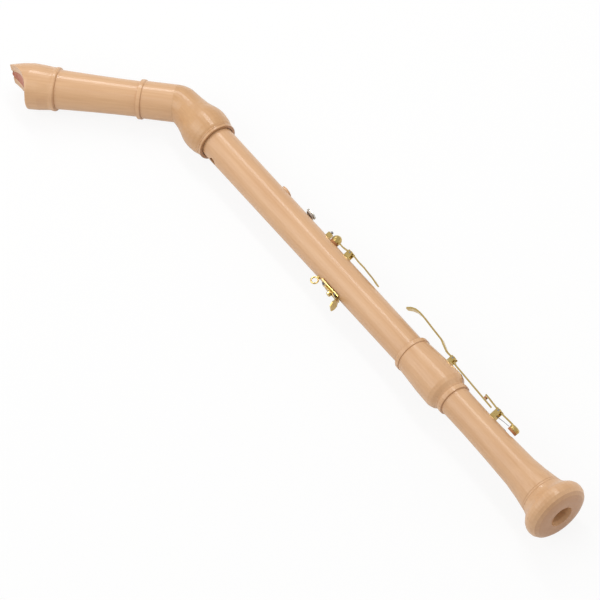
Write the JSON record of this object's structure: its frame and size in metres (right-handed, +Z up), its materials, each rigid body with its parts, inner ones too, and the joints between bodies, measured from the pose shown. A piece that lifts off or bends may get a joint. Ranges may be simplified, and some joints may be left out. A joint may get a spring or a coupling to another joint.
{
  "type": "bass recorder",
  "caption": "Wooden bass recorder with a bent knee head, a middle joint and a flared foot, sprung metal keys, an adjustable thumb rest and a sling ring.",
  "frame": {"origin": "centre of the bounding box in plan, on the floor", "axes": "+X toward the bell, within a degree of the main bore; +Y toward the finger holes; +Z up, the player's right side of the instrument as it lies on its left"},
  "size_m": [0.9114, 0.1872, 0.077],
  "materials": {
    "brass": "polished",
    "cedar": "raw",
    "cork": "matte",
    "leather": "matte",
    "maple": "satin oiled",
    "plated_brass": "polished",
    "steel": "blued"
  },
  "bodies": {
    "middle": {"middle_joint": "maple", "upper_tenon_cork": "cork", "lower_tenon_cork": "cork", "hole_two_bush": "maple", "right_key_saddle": "brass", "right_key_pin": "steel", "right_key_stop": "brass", "right_stop_screw": "steel", "left_post_upper": "brass", "left_post_lower": "brass", "left_key_rod": "steel", "thumb_rest_plate": "brass", "rest_screw_upper": "steel", "rest_screw_left": "steel", "rest_screw_right": "steel", "sling_ring": "brass"},
    "knee": {"elbow_upper": "maple", "elbow_lower": "maple"},
    "head": {"head_top": "maple", "block": "cedar", "head_tenon_cork": "cork"},
    "foot": {"foot_joint": "maple", "foot_touch_saddle": "brass", "foot_touch_pin": "steel", "foot_pad_saddle": "brass", "foot_pad_pin": "steel", "foot_pad_spring": "steel"},
    "foot_touch": {"foot_touch_lever": "brass"},
    "foot_pad": {"foot_pad_lever": "brass", "foot_pad_leather": "leather", "foot_pad_bumper": "leather"},
    "right_key": {"right_key_lever": "brass", "right_key_pad": "leather"},
    "left_key": {"left_key_lever": "plated_brass", "left_key_pad": "leather"},
    "rest_slide": {"thumb_rest_hook": "brass"},
    "rest_clamp": {"thumb_rest_clamp": "brass"}
  },
  "joints": [
    {"name": "knee_slide", "type": "slide", "parent": "middle", "child": "knee", "axis": [-0.9999, 0, -0.014], "range_m": [0, 0.01]},
    {"name": "head_turn", "type": "hinge", "parent": "knee", "child": "head", "pos_m": [-0.30681, 0.02726, 0.02838], "axis": [0.7483, 0.6633, 0.0013], "range_deg": [-20, 20]},
    {"name": "foot_turn", "type": "hinge", "parent": "middle", "child": "foot", "pos_m": [0.19638, 0.05379, 0.03504], "axis": [0.9999, 0, 0.014], "range_deg": [-10, 10]},
    {"name": "foot_touch_turn", "type": "hinge", "parent": "foot", "child": "foot_touch", "pos_m": [0.22206, 0.08352, 0.04382], "axis": [-0.0134, -0.2724, 0.9621], "range_deg": [0, 2.2], "stiffness_Nm_per_rad": 0.1, "springref_deg": -9.74},
    {"name": "foot_pad_turn", "type": "hinge", "parent": "foot", "child": "foot_pad", "pos_m": [0.30926, 0.08121, 0.04439], "axis": [-0.0134, -0.2724, 0.9621], "range_deg": [-6, 0], "stiffness_Nm_per_rad": 0.05, "springref_deg": 20.05},
    {"name": "right_key_rock", "type": "hinge", "parent": "middle", "child": "right_key", "pos_m": [0.03129, 0.07938, 0.03998], "axis": [0.0134, 0.2724, -0.9621], "range_deg": [0, 3], "stiffness_Nm_per_rad": 0.05, "springref_deg": -17.19},
    {"name": "left_key_close", "type": "hinge", "parent": "middle", "child": "left_key", "pos_m": [-0.04733, 0.07059, 0.01245], "axis": [0.9999, 0, 0.014], "range_deg": [0, 5], "stiffness_Nm_per_rad": 0.03, "springref_deg": -17.19},
    {"name": "thumb_rest_slide", "type": "slide", "parent": "middle", "child": "rest_slide", "axis": [0.9999, 0, 0.014], "range_m": [-0.002, 0.002]},
    {"name": "clamp_turn", "type": "hinge", "parent": "middle", "child": "rest_clamp", "pos_m": [0.05539, 0.02979, 0.03341], "axis": [-0.0002, -0.9999, 0.0138], "range_deg": [-180, 180]}
  ],
  "couplings": [
    {"joint": "foot_pad_turn", "follows": "foot_touch_turn", "ratio": -2.7}
  ]
}
